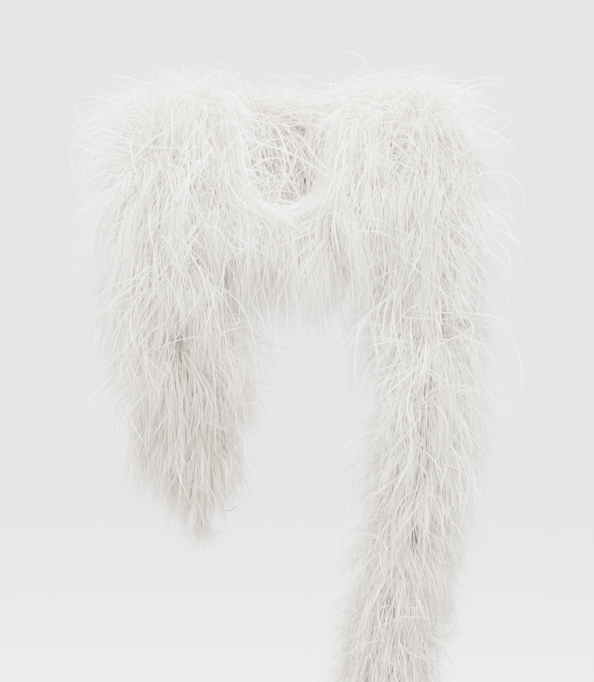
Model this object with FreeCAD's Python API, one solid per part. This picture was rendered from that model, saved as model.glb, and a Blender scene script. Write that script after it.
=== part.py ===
"""A white ostrich feather boa, draped once round a neck, with both tails hanging in front.

Millimetres. +Z is up, the front faces -Y, and +X is to the right as seen from the front.
The origin is the neck rest: the middle of the space that the boa is wound round, level with the
top of the shoulders that carry it.
"""
import FreeCAD
import Part
import math
import os

os.makedirs("parts", exist_ok=True)
Vector = FreeCAD.Vector

# ---------------------------------------------------------------- driving dimensions

CORE_DIA = 5.0            # twisted cotton cord
QUILL_DIA = 1.7           # one pared quill strip
QUILL_GAP = 0.35          # between the core's surface and a quill strip
PLUME_REACH = 70.0        # from the core to the tips of a plume's solid
PLUME_WAIST = 30.0        # from the core to the valleys between a plume's lobes
PLUME_LOBES = 6           # bunches of flues round the core in one plume
PLUME_END_SHARE = 0.55    # a plume's size at its two ends, as a share of its middle
PLUME_HALF_SHARE = 0.9    # from a plume's middle to either end, as a share of its reach
PLUME_TURN = 0.61         # radians that each plume's lobes are turned from the last one's
TUFT_TURN = 0.3           # radians that the end tufts' lobes are turned
BORE_GAP = 0.6            # round the core and its quill strips, inside each plume
NEIGHBOUR_GAP = 0.4       # between two plumes that lie side by side
THREAD_WALL = 0.9         # build-up of the binding thread on the core
BINDING_WIDTH = 4.0       # one binding ring along the core
WHIPPING_WIDTH = 12.0     # the thread wraps at the boa's two ends
KNOT_DIA = 10.0           # overhand knot in the core's end
ARC_SHARE = 0.45          # of the shorter run beside a bend, taken up by the bend on each side
HINGE_GAP = 0.3           # between the round end of a hanging core and the core above it
TUFT_LENGTH = 50.0        # an end tuft, below the end of the core
LEFT_TUFT_REACH = 32.0    # the left end is worn and thin, the right one is full
RIGHT_TUFT_REACH = 50.0
TUFT_TIP_SHARE = 0.28     # a tuft's size at its tip, as a share of its size at the core's end
LOOSE_THREAD_DIA = 1.2    # the end of the binding thread, out of the left end knot
LOOSE_THREAD_RUN = 2.0    # its straight part, level with the knot
LOOSE_THREAD_DIP = 9.0    # the radius that it turns down with
LOOSE_THREAD_CURL = 11.0  # the radius that it curls up with
DIP_ANGLE = 70.0          # degrees that it turns down
CURL_ANGLE = 115.0        # degrees that it curls back up
THREAD_GAP = 0.05         # between the loose thread's end and the knot

SHOULDER_Y = -45.0        # the line over which everything in front hangs
SHOULDER_Z = -11.0
SWAG_HALF_WIDTH = 102.5   # the front swag keeps between the two tails
SWAG_FRONT_Y = -92.0
SWAG_BACK_Y = -8.0
SWAG_BOTTOM_Z = -112.0
TAIL_INNER_X = 103.5      # the upper tails keep outside the front swag
BACK_FRONT_Y = 28.0       # the back passes keep behind the neck
NECK_HALF_WIDTH = 38.0

ROOT_FRONT_SLOPE = 14.0   # degrees: the loop's fluff rises this much in front of the shoulder line
ROOT_BACK_SLOPE = -8.0    # and falls this much behind it
HANG_FRONT_SLOPE = 25.0   # what hangs falls this much in front of the shoulder line
HANG_BACK_SLOPE = 22.0    # and behind it
SWAY_SLOPE = 14.0         # each side of a joint within a tail

# The core's route, from the left tail's end to the right tail's end.
ROUTE = [Vector(*point) for point in (
    (-89, -51, -318), (-101, -50, -246), (-109, -49, -176), (-117, -47, -107), (-128, -46, -39),
    (-134, -44, 17), (-130, -4, 52), (-106, 42, 36), (-44, 64, 10), (24, 66, 8), (74, 42, 34),
    (90, -6, 54), (88, -44, 17),
    (80, -46, -39), (28, -49, -65), (-28, -50, -66), (-80, -46, -40),
    (-88, -44, 18), (-92, -6, 58), (-70, 40, 62), (-10, 60, 68), (52, 60, 73), (104, 38, 72),
    (134, -6, 60), (138, -44, 17),
    (136, -46, -39), (137, -47, -106), (136, -49, -173), (134, -51, -240), (129, -52, -307),
    (119, -52, -373), (107, -51, -440), (92, -50, -506), (80, -50, -572),
)]
LAST = len(ROUTE) - 1

# The boa is thinner towards its ends: the size of these plumes, as a share of a full one.
PLUME_SIZES = {1: 0.75, 2: 0.9, 29: 0.9, 30: 0.8, 31: 0.75, 32: 0.72}

# Each stretch of the core: its body, its first and last points, and which of its ends hang from a
# hinge in the middle of the run just outside it.
STRETCHES = [
    ("left_tail_lower", "left_tail_lower", 0, 2, (False, True)),
    ("left_tail_upper", "left_tail_upper", 3, 4, (False, True)),
    ("back_low", "neck_loop", 5, 12, (False, False)),
    ("front_swag", "front_swag", 13, 16, (True, True)),
    ("back_high", "neck_loop", 17, 24, (False, False)),
    ("right_tail_upper", "right_tail_upper", 25, 27, (True, False)),
    ("right_tail_middle", "right_tail_middle", 28, 30, (True, False)),
    ("right_tail_lower", "right_tail_lower", 31, 33, (True, False)),
]

# The joints within the tails: the run they lie on, and the level direction their axis takes.
TAIL_HINGES = [(2, "y"), (27, "y"), (30, "x")]

# ---------------------------------------------------------------- the route's own geometry


def middle_of_run(run):
    return (ROUTE[run] + ROUTE[run + 1]) * 0.5


def run_direction(run):
    return (ROUTE[run + 1] - ROUTE[run]).normalize()


def run_length(run):
    return (ROUTE[run + 1] - ROUTE[run]).Length


def body_of(index):
    return next(body for _, body, first, last, _ in STRETCHES if first <= index <= last)


class Bend:
    """The arc that rounds the route at one point: as large as the two runs beside it allow."""

    def __init__(self, index):
        before, after = run_direction(index - 1), run_direction(index)
        turn = before.getAngle(after)
        tangent = ARC_SHARE * min(run_length(index - 1), run_length(index))
        corner = ROUTE[index]
        towards_centre = (after - before).normalize()
        self.radius = tangent / math.tan(turn / 2)
        self.start = corner - before * tangent
        self.end = corner + after * tangent
        centre = corner + towards_centre * (self.radius / math.cos(turn / 2))
        self.middle = centre - towards_centre * self.radius
        self.normal = before.cross(after).normalize()

    def arc(self, shift=Vector(0, 0, 0)):
        ends = [point + shift for point in (self.start, self.middle, self.end)]
        return Part.Arc(*ends).toShape()


BENDS = {index: Bend(index) for index in range(1, LAST)}


def path_between(first, last, start, end):
    """Straight runs joined by tangent arcs, from start, round the points first to last, to end."""
    edges, here = [], start
    for index in range(first, last + 1):
        bend = BENDS[index]
        edges.append(Part.LineSegment(here, bend.start).toShape())
        edges.append(bend.arc())
        here = bend.end
    edges.append(Part.LineSegment(here, end).toShape())
    return Part.Wire(edges)


def tube(path, radius):
    first = path.Edges[0]
    direction = first.tangentAt(first.FirstParameter)
    section = Part.Wire(Part.makeCircle(radius, first.valueAt(first.FirstParameter), direction))
    return path.makePipeShell([section], True, True)


def stretch_end(stretch, at_start):
    """Where a stretch of core ends, the direction out of it there, and whether it hangs there."""
    _, _, first, last, hangs = stretch
    index = first if at_start else last
    run = first - 1 if at_start else last
    if index in (0, LAST):
        outwards = run_direction(0) * -1 if at_start else run_direction(LAST - 1)
        return ROUTE[index], outwards, False
    outwards = run_direction(run) * (-1 if at_start else 1)
    hanging = hangs[0 if at_start else 1]
    back = 0 if hanging else CORE_DIA / 2 + HINGE_GAP
    return middle_of_run(run) - outwards * back, outwards, hanging


# ---------------------------------------------------------------- what runs along the core


def core(stretch):
    """A stretch of the core cord. Where it hangs from the stretch above, its end is a ball."""
    _, _, first, last, _ = stretch
    ends = [stretch_end(stretch, at_start) for at_start in (True, False)]
    inner = range(max(first, 1), min(last, LAST - 1) + 1)
    path = path_between(inner[0], inner[-1], ends[0][0], ends[1][0])
    solid = tube(path, CORE_DIA / 2)
    ideal = math.pi * CORE_DIA**2 / 4 * path.Length
    assert abs(solid.Volume / ideal - 1) < 0.01, f"core {stretch[0]} lost its section"
    for point, outwards, hanging in ends:
        if hanging:
            solid = solid.fuse(Part.makeSphere(CORE_DIA / 2, point, outwards, 0, 90, 360))
    return solid, path.Length


def quill_strips(first, last):
    """Two pared quills at each bend, one on either side of the core and parallel to it."""
    strips = []
    offset = CORE_DIA / 2 + QUILL_GAP + QUILL_DIA / 2
    for index in range(max(first, 1), min(last, LAST - 1) + 1):
        bend = BENDS[index]
        for side in (-1, 1):
            arc = bend.arc(bend.normal * (offset * side))
            strips.append(tube(Part.Wire([arc]), QUILL_DIA / 2))
    return strips


def thread_ring(centre, direction, width):
    """Binding thread round the core, as one ring of wraps."""
    base = centre - direction * (width / 2)
    outside = Part.makeCylinder(CORE_DIA / 2 + THREAD_WALL, width, base, direction)
    return outside.cut(Part.makeCylinder(CORE_DIA / 2, width, base, direction))


def bindings(first, last):
    """A thread ring in the middle of each run within a stretch, and the whipping at a free end."""
    rings = [thread_ring(middle_of_run(run), run_direction(run), BINDING_WIDTH)
             for run in range(first, last)]
    if first == 0:
        rings.append(thread_ring(ROUTE[0] + run_direction(0) * (WHIPPING_WIDTH / 2),
                                 run_direction(0), WHIPPING_WIDTH))
    if last == LAST:
        rings.append(thread_ring(ROUTE[LAST] - run_direction(LAST - 1) * (WHIPPING_WIDTH / 2),
                                 run_direction(LAST - 1), WHIPPING_WIDTH))
    return rings


def knot_centre(end, outwards):
    return end + outwards * math.sqrt((KNOT_DIA / 2) ** 2 - (CORE_DIA / 2) ** 2)


def end_knot(end, outwards):
    """The overhand knot at the end of the core: a ball that the cord's end face sits flat on."""
    ball = Part.makeSphere(KNOT_DIA / 2, knot_centre(end, outwards))
    return keep_side(ball, [(end, outwards * -1)])


def loose_thread(radius):
    """The end of the binding thread: out of the left end knot, dipping, and then curling upwards."""
    start = knot_centre(ROUTE[0], run_direction(0) * -1) + Vector(KNOT_DIA / 2 + THREAD_GAP, 0, 0)
    turn = start + Vector(LOOSE_THREAD_RUN, 0, 0)

    def dipping(angle):
        return turn + Vector(math.sin(angle), 0, math.cos(angle) - 1) * LOOSE_THREAD_DIP

    def curling(angle):
        return lowest_centre + Vector(math.sin(angle), 0, -math.cos(angle)) * LOOSE_THREAD_CURL

    dip, curl = math.radians(DIP_ANGLE), math.radians(CURL_ANGLE)
    lowest_centre = dipping(dip) + Vector(math.sin(dip), 0, math.cos(dip)) * LOOSE_THREAD_CURL
    edges = [Part.LineSegment(start, turn).toShape(),
             Part.Arc(turn, dipping(dip / 2), dipping(dip)).toShape(),
             Part.Arc(dipping(dip), curling(curl / 2 - dip), curling(curl - dip)).toShape()]
    return tube(Part.Wire(edges), radius)


# ---------------------------------------------------------------- plumes

CUTTER = 600.0            # the side of a cutting box, larger than any plume


def keep_side(solid, planes):
    """What is left of a solid when all that lies beyond each plane, along its normal, is cut off."""
    cutters = []
    for point, normal in planes:
        cutter = Part.makeBox(CUTTER, CUTTER, CUTTER, Vector(-CUTTER / 2, -CUTTER / 2, 0))
        cutter.Placement = FreeCAD.Placement(point, FreeCAD.Rotation(Vector(0, 0, 1), normal))
        cutters.append(cutter)
    return solid.cut(cutters)


NEARLY_PARALLEL = 0.2     # the sine of the angle between a section's direction and its helper


def lobed_section(centre, direction, size, turn):
    """A star of flue bunches round the core: one lobe for each, with a valley between two."""
    across = Vector(0, 1, 0).cross(direction)
    if across.Length < NEARLY_PARALLEL:
        across = Vector(1, 0, 0).cross(direction)
    across.normalize()
    along = direction.cross(across)
    points = []
    for step in range(2 * PLUME_LOBES):
        reach = (PLUME_REACH if step % 2 == 0 else PLUME_WAIST) * size
        angle = turn + math.pi * step / PLUME_LOBES
        points.append(centre + across * (reach * math.cos(angle)) + along * (reach * math.sin(angle)))
    return Part.makePolygon(points + points[:1])


def slope_plane(point, side, slope, above):
    """A plane through a hinge's axis that falls away from it towards one side.

    side is the level direction it slopes along, and slope how far it falls, in degrees. With above,
    the solid is kept on the plane's upper side, and otherwise on its lower side.
    """
    fall = math.radians(slope)
    normal = side * math.sin(fall) + Vector(0, 0, 1) * math.cos(fall)
    return point, normal * (-1 if above else 1)


def shoulder_planes(body):
    """All that hangs in front keeps below two planes through the shoulder line, the rest above."""
    point = Vector(0, SHOULDER_Y, SHOULDER_Z)
    front, back = Vector(0, -1, 0), Vector(0, 1, 0)
    if body == "neck_loop":
        return [(point, front, -ROOT_FRONT_SLOPE, True), (point, back, -ROOT_BACK_SLOPE, True)]
    return [(point, front, HANG_FRONT_SLOPE, False), (point, back, HANG_BACK_SLOPE, False)]


def hinge_planes(index):
    """The clearance cuts of the joints within a tail, for the plumes beside them."""
    planes = []
    for run, axis in TAIL_HINGES:
        side = Vector(1, 0, 0) if axis == "y" else Vector(0, 1, 0)
        point = middle_of_run(run)
        if index in (run, run + 1):
            above = ROUTE[index].z > point.z
            slope = -SWAY_SLOPE if above else SWAY_SLOPE
            planes += [slope_plane(point, side * sign, slope, above) for sign in (-1, 1)]
    return planes


def neighbour_planes(index):
    """Halfway planes to every other plume of the same body that is near enough to touch."""
    planes, here = [], ROUTE[index]
    for other, there in enumerate(ROUTE):
        apart = there - here
        if other != index and body_of(other) == body_of(index) and apart.Length < 2 * PLUME_REACH:
            normal = Vector(apart).normalize()
            planes.append((here + apart * 0.5 - normal * (NEIGHBOUR_GAP / 2), normal))
    return planes


def body_planes(index):
    """What keeps one body's fluff clear of the others and of the space for the neck."""
    body, point = body_of(index), ROUTE[index]
    outwards = Vector(math.copysign(1, point.x), 0, 0)
    planes = []
    if body == "front_swag":
        planes += [(Vector(side * SWAG_HALF_WIDTH, 0, 0), Vector(side, 0, 0)) for side in (-1, 1)]
        planes += [(Vector(0, SWAG_FRONT_Y, 0), Vector(0, -1, 0)),
                   (Vector(0, SWAG_BACK_Y, 0), Vector(0, 1, 0)),
                   (Vector(0, 0, SWAG_BOTTOM_Z), Vector(0, 0, -1))]
    if body.endswith("tail_upper"):
        planes.append((outwards * TAIL_INNER_X, outwards * -1))
    if body == "neck_loop":
        if point.y > BACK_FRONT_Y and abs(point.x) < NECK_HALF_WIDTH + PLUME_REACH:
            planes.append((Vector(0, BACK_FRONT_Y, 0), Vector(0, -1, 0)))
        else:
            planes.append((outwards * NECK_HALF_WIDTH, outwards * -1))
    return planes


def bore(index):
    """The way through a plume for the core, its quill strips and its thread."""
    start, end = middle_of_run(index - 1), middle_of_run(index)
    past = PLUME_REACH
    radius = CORE_DIA / 2 + QUILL_GAP + QUILL_DIA + BORE_GAP
    path = path_between(index, index, start, end)
    ends = [Part.makeCylinder(radius, past, start, run_direction(index - 1) * -1),
            Part.makeCylinder(radius, past, end, run_direction(index))]
    return tube(path, radius).fuse(ends)


def plume(index):
    """One plume's bunches of flues: widest at its middle, cut to the space it has."""
    direction = (run_direction(index - 1) + run_direction(index)).normalize()
    centre = BENDS[index].middle
    half = PLUME_REACH * PLUME_HALF_SHARE
    turn, full = index * PLUME_TURN, PLUME_SIZES.get(index, 1.0)
    sections = [lobed_section(centre + direction * (half * step), direction, full * size, turn)
                for step, size in ((-1, PLUME_END_SHARE), (0, 1), (1, PLUME_END_SHARE))]
    solid = Part.makeLoft(sections, True, True)
    body = body_of(index)
    planes = neighbour_planes(index) + hinge_planes(index) + body_planes(index)
    planes += [slope_plane(*plane) for plane in shoulder_planes(body)]
    solid = keep_side(solid, planes)
    return solid.cut(bore(index))


def end_tuft(index, outwards, reach):
    """The short plume that hides an end of the core, with a hollow for the end and its knot."""
    end = ROUTE[index]
    size = reach / PLUME_REACH
    inner = index + 1 if index == 0 else index - 1
    start = (end + ROUTE[inner]) * 0.5 + outwards * NEIGHBOUR_GAP
    sections = [lobed_section(start, outwards, size, TUFT_TURN),
                lobed_section(end, outwards, size, TUFT_TURN),
                lobed_section(end + outwards * TUFT_LENGTH, outwards, size * TUFT_TIP_SHARE, TUFT_TURN)]
    solid = Part.makeLoft(sections, True, True)
    radius = KNOT_DIA / 2 + BORE_GAP
    depth = (end - start).Length + KNOT_DIA + BORE_GAP
    hollow = [Part.makeCylinder(radius, depth, start, outwards)]
    if index == 0:
        hollow.append(loose_thread(LOOSE_THREAD_DIA / 2 + BORE_GAP))
    return solid.cut(hollow)


# ---------------------------------------------------------------- making the sub-parts


def make_parts():
    parts, length = {}, 0.0
    for stretch in STRETCHES:
        parts[f"core_{stretch[0]}"], stretch_length = core(stretch)
        length += stretch_length
    for body in dict.fromkeys(stretch[1] for stretch in STRETCHES):
        strips, rings = [], []
        for _, owner, first, last, _ in STRETCHES:
            if owner == body:
                strips += quill_strips(first, last)
                rings += bindings(first, last)
        parts[f"quills_{body}"] = Part.makeCompound(strips)
        parts[f"bindings_{body}"] = Part.makeCompound(rings)
    for index in range(1, LAST):
        parts[f"plume_{index:02d}"] = plume(index)
    ends = {"left": (0, run_direction(0) * -1, LEFT_TUFT_REACH),
            "right": (LAST, run_direction(LAST - 1), RIGHT_TUFT_REACH)}
    for side, (index, outwards, reach) in ends.items():
        parts[f"end_tuft_{side}"] = end_tuft(index, outwards, reach)
        parts[f"end_knot_{side}"] = end_knot(ROUTE[index], outwards)
    parts["loose_thread_left"] = loose_thread(LOOSE_THREAD_DIA / 2)
    print(f"core length {length:.0f} mm")
    return parts


def main():
    radii = {index: bend.radius for index, bend in BENDS.items()}
    tightest = min(radii, key=radii.get)
    print("bend radii:", " ".join(f"{radius:.0f}" for radius in radii.values()))
    print(f"tightest bend {radii[tightest]:.0f} mm, at point {tightest}")
    total = 0.0
    for name, shape in make_parts().items():
        assert shape.isValid(), f"{name} is not valid"
        total += shape.Volume
        shape.exportStep(f"parts/{name}.step")
    print(f"solid volume {total / 1e6:.2f} litres")


main()
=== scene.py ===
# %% [markdown]
# # A white ostrich feather boa, wound once round a neck
#
# A boa is a cotton core cord with many strips of ostrich flues bound along it, one after the other.
# Nothing on it is stiff but the pared quills, so its look comes from tens of thousands of long, thin,
# drooping flues. This lesson sets the camera, lays the core cord, binds it, and then grows the flues
# from it. The pieces hang from the fixed frame that the joints move, but the plumes beside a joint
# are hung on no body: their places are baked into their meshes.

# %% Load the fixed frame
import math

import bpy
import numpy as np
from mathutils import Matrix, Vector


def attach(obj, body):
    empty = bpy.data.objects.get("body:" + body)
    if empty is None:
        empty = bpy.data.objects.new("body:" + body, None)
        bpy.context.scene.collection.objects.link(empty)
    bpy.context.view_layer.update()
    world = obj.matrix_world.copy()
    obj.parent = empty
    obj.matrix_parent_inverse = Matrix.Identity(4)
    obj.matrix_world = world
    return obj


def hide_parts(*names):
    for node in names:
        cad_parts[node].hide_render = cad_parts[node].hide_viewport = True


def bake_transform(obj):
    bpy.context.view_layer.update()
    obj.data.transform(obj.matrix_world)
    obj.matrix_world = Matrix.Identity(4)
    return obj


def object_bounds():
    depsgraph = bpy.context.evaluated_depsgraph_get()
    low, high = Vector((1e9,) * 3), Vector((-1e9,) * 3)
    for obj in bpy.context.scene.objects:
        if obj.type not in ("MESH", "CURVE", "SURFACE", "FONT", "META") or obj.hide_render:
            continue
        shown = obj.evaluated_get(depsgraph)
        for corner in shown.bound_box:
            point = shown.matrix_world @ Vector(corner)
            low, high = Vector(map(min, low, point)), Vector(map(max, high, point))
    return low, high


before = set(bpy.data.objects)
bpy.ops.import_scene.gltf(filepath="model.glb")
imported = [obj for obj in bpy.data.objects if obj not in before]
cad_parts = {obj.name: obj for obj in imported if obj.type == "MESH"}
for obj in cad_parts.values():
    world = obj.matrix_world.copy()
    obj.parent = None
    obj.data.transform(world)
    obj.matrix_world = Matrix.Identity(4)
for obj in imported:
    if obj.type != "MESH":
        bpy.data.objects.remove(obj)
cad_low, cad_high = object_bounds()
MM = 0.001
dice = np.random.default_rng(17)

# %% [markdown]
# The camera comes first, because what it takes in decides how much of each tail is seen. It looks
# level at the front of the boa, from two metres away, as a product is usually shown. The lens is
# worked out from the height that the picture takes in at the front of the boa.

# %% Camera
VIEW_HEIGHT = 0.682
VIEW_CENTRE_X, VIEW_CENTRE_Z = 0.007, -0.166
FRONT_Y = -0.05
CAMERA_DISTANCE = 2.0

camera_data = bpy.data.cameras.new("camera")
camera_data.sensor_width = 36
camera_data.lens = camera_data.sensor_width * CAMERA_DISTANCE / VIEW_HEIGHT
camera = bpy.data.objects.new("camera", camera_data)
camera.location = (VIEW_CENTRE_X, FRONT_Y - CAMERA_DISTANCE, VIEW_CENTRE_Z)
camera.rotation_euler = (math.pi / 2, 0, 0)
bpy.context.scene.collection.objects.link(camera)
bpy.context.scene.camera = camera
print("lens:", round(camera_data.lens, 1), "mm")

# %% [markdown]
# The core cord runs from the left tail's end, over the left shoulder, behind the neck, across the
# front as a swag, behind the neck once more and down the right tail. A limp cord under its own weight
# has no corners, so its line is one NURBS spline with the chosen points as its control points.
# Everything else on the boa follows points read from that spline, which keeps all of it in step.

# %% The route of the core, as one smooth line
ROUTE = (
    (-89, -51, -318), (-101, -50, -246), (-109, -49, -176), (-117, -47, -107), (-128, -46, -39),
    (-134, -44, 17), (-130, -4, 52), (-106, 42, 36), (-44, 64, 10), (24, 66, 8), (74, 42, 34),
    (90, -6, 54), (88, -44, 17),
    (80, -46, -39), (28, -49, -65), (-28, -50, -66), (-80, -46, -40),
    (-88, -44, 18), (-92, -6, 58), (-70, 40, 62), (-10, 60, 68), (52, 60, 73), (104, 38, 72),
    (134, -6, 60), (138, -44, 17),
    (136, -46, -39), (137, -47, -106), (136, -49, -173), (134, -51, -240), (129, -52, -307),
    (119, -52, -373), (107, -51, -440), (92, -50, -506), (80, -50, -572),
)
LINE_STEPS = 24


def points_of(curve_data):
    """The points along a curve that has no bevel."""
    holder = bpy.data.objects.new("holder", curve_data)
    mesh = bpy.data.meshes.new_from_object(holder)
    points = np.array([v.co for v in mesh.vertices], float)
    bpy.data.objects.remove(holder)
    bpy.data.meshes.remove(mesh)
    return points


def smooth_line(name, control_points):
    """The points of a NURBS spline with these control points, which are in millimetres."""
    data = bpy.data.curves.new(name, "CURVE")
    data.dimensions = "3D"
    data.resolution_u = LINE_STEPS
    spline = data.splines.new("NURBS")
    spline.points.add(len(control_points) - 1)
    for point, place in zip(spline.points, control_points):
        point.co = (*[MM * v for v in place], 1)
    spline.order_u = 3
    spline.use_endpoint_u = True
    points = points_of(data)
    bpy.data.curves.remove(data)
    return points


core_line = smooth_line("core", ROUTE)
print("core:", len(core_line), "points")

# %% [markdown]
# Whatever follows the cord needs to know three things at each place: how far along it is, which way
# the cord goes there, and which ways are across it. The two directions across are carried along the
# line without spinning, so that nothing twists by itself. Places along the core are counted in spans:
# a whole number is the middle of a run between two points of the route.

# %% Directions along a line
ASIDE_HINT = (0.3, 0.9, 0.2)
SPANS = len(ROUTE) - 2


def unit(vectors):
    return vectors / np.maximum(np.linalg.norm(vectors, axis=-1, keepdims=True), 1e-12)


def run_along(line):
    """How far along a line each of its points is."""
    return np.concatenate([[0], np.cumsum(np.linalg.norm(np.diff(line, axis=0), axis=1))])


def carried_frames(points):
    """The direction along a line at each point, and two directions across it that don't spin."""
    along = unit(np.gradient(points, axis=0))
    across = [unit(np.cross(along[0], ASIDE_HINT))]
    for direction in along[1:]:
        across.append(unit(across[-1] - direction * (across[-1] @ direction)))
    across = np.array(across)
    return along, across, np.cross(along, across)


core_at = np.linspace(0, SPANS, len(core_line))
core_along, core_across, core_aside = carried_frames(core_line)
core_run = run_along(core_line)


def on_core(at, values=core_line):
    """A value along the core, at places counted in spans."""
    return np.stack([np.interp(at, core_at, column) for column in values.T], -1)


def core_place(at):
    return on_core(at), unit(on_core(at, core_along))


print("core:", round(core_run[-1], 3), "m in", SPANS, "spans")

# %% [markdown]
# Each body of the frame has its own stretch of core, cut where a joint lets the boa bend. Cord, quills
# and thread are all tubes round a line, so one function makes them: it sets a ring of corners round
# each point of the line, and closes both ends.

# %% Tubes round lines, and pieces made of them
STRETCHES = {
    "left_tail_lower": ("left_tail_lower", 0, 2),
    "left_tail_upper": ("left_tail_upper", 2, 4),
    "back_low": ("neck_loop", 4, 12),
    "front_swag": ("front_swag", 12, 16),
    "back_high": ("neck_loop", 16, 24),
    "right_tail_upper": ("right_tail_upper", 24, 27),
    "right_tail_middle": ("right_tail_middle", 27, 30),
    "right_tail_lower": ("right_tail_lower", 30, 32),
}
plume_bodies = {index: body for body, start, end in STRETCHES.values()
                for index in range(start + 1, end + 1)}


def tube(line, radius, sides=6):
    """Corners and faces of a closed tube. The radius is one number or one for each point."""
    _, across, aside = carried_frames(line)
    radius = np.broadcast_to(radius, len(line))[:, None, None]
    turn = 2 * np.pi * np.arange(sides)[None, :, None] / sides
    rings = line[:, None] + radius * (np.cos(turn) * across[:, None] + np.sin(turn) * aside[:, None])
    here = np.arange(len(line) - 1)[:, None] * sides + np.arange(sides)
    ahead = np.arange(len(line) - 1)[:, None] * sides + (np.arange(sides) + 1) % sides
    walls = np.stack([here, ahead, ahead + sides, here + sides], -1).reshape(-1, 4).tolist()
    last = (len(line) - 1) * sides
    caps = [list(range(sides))[::-1], [last + side for side in range(sides)]]
    return rings.reshape(-1, 3), walls + caps


def placed(name, mesh):
    """A mesh as an object in the scene."""
    made = bpy.data.objects.new(name, mesh)
    bpy.context.scene.collection.objects.link(made)
    return made


def piece(name, parts, material):
    """One mesh object out of several (corners, faces) parts."""
    corners, faces, start = [], [], 0
    for part_corners, part_faces in parts:
        corners.append(part_corners)
        faces += [[start + corner for corner in face] for face in part_faces]
        start += len(part_corners)
    mesh = bpy.data.meshes.new(name)
    mesh.from_pydata(np.concatenate(corners), [], faces)
    mesh.polygons.foreach_set("use_smooth", [True] * len(mesh.polygons))
    mesh.materials.append(material)
    return placed(name, mesh)


def settle(made, replaced, body):
    """Hides the piece of the frame that this one replaces, and hangs this one on the body that carries
    it.
    """
    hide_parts(replaced)
    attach(made, body)


print("stretches:", len(STRETCHES), "| plumes:", len(plume_bodies))

# %% [markdown]
# The finishes are made before the pieces. Cotton, thread, keratin and flues all show the same two
# small effects: a slow change of tone over the surface, and a fine fibre grain that shines unevenly.
# Each effect is a node group, built once, and each material places it with its own values. The first
# one blends the colour towards a shadow colour wherever a soft, slow noise is high.

# %% Node group: a change of tone
COLOUR, NUMBER = "NodeSocketColor", "NodeSocketFloat"


def node_group(name, inputs, outputs):
    group = bpy.data.node_groups.new(name, "ShaderNodeTree")
    for label, kind, value in inputs:
        socket = group.interface.new_socket(label, in_out="INPUT", socket_type=kind)
        socket.default_value = value
    for label, kind in outputs:
        group.interface.new_socket(label, in_out="OUTPUT", socket_type=kind)
    return group, group.nodes.new("NodeGroupInput"), group.nodes.new("NodeGroupOutput")


def link(tree, *pairs):
    for source, target in pairs:
        tree.links.new(source, target)


tone_group, tone_in, tone_out = node_group(
    "change_of_tone",
    [("Colour", COLOUR, (1, 1, 1, 1)), ("Shadow Colour", COLOUR, (0.6, 0.55, 0.5, 1)),
     ("Amount", NUMBER, 0.3), ("Scale", NUMBER, 20)],
    [("Colour", COLOUR)])
place = tone_group.nodes.new("ShaderNodeTexCoord")
cloud = tone_group.nodes.new("ShaderNodeTexNoise")
cloud.inputs["Detail"].default_value = 3
reach = tone_group.nodes.new("ShaderNodeMapRange")
reach.inputs["From Min"].default_value, reach.inputs["From Max"].default_value = 0.35, 0.75
share = tone_group.nodes.new("ShaderNodeMath")
share.operation = "MULTIPLY"
blend = tone_group.nodes.new("ShaderNodeMix")
blend.data_type = "RGBA"
link(tone_group,
     (place.outputs["Object"], cloud.inputs["Vector"]),
     (tone_in.outputs["Scale"], cloud.inputs["Scale"]),
     (cloud.outputs["Fac"], reach.inputs["Value"]),
     (reach.outputs["Result"], share.inputs[0]),
     (tone_in.outputs["Amount"], share.inputs[1]),
     (share.outputs[0], blend.inputs["Factor"]),
     (tone_in.outputs["Colour"], blend.inputs["A"]),
     (tone_in.outputs["Shadow Colour"], blend.inputs["B"]),
     (blend.outputs["Result"], tone_out.inputs["Colour"]))
print("node group:", tone_group.name)

# %% [markdown]
# The second effect is the grain of fibres. A fine noise gives an uneven roughness between two values,
# and the same noise is handed on as a height, for finishes that want a little relief from it.

# %% Node group: a fibre grain
grain_group, grain_in, grain_out = node_group(
    "fibre_grain",
    [("Scale", NUMBER, 900), ("Smooth", NUMBER, 0.5), ("Rough", NUMBER, 0.9)],
    [("Roughness", NUMBER), ("Height", NUMBER)])
place = grain_group.nodes.new("ShaderNodeTexCoord")
fibres = grain_group.nodes.new("ShaderNodeTexNoise")
fibres.inputs["Detail"].default_value = 4
spread = grain_group.nodes.new("ShaderNodeMapRange")
link(grain_group,
     (place.outputs["Object"], fibres.inputs["Vector"]),
     (grain_in.outputs["Scale"], fibres.inputs["Scale"]),
     (fibres.outputs["Fac"], spread.inputs["Value"]),
     (grain_in.outputs["Smooth"], spread.inputs["To Min"]),
     (grain_in.outputs["Rough"], spread.inputs["To Max"]),
     (spread.outputs["Result"], grain_out.inputs["Roughness"]),
     (fibres.outputs["Fac"], grain_out.inputs["Height"]))
print("node group:", grain_group.name)

# %% [markdown]
# Cord, thread and quill are simple finishes: a colour that changes slowly, a grain in the roughness,
# and a little bump from the same grain. The cord is a warm off-white cotton, the thread a darker
# beige, and the quill the pale straw of pared keratin.

# %% Cord, thread and quill finishes
CORD_TONE_AMOUNT = 0.7
GRAIN_DEPTH = 0.2 * MM


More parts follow.
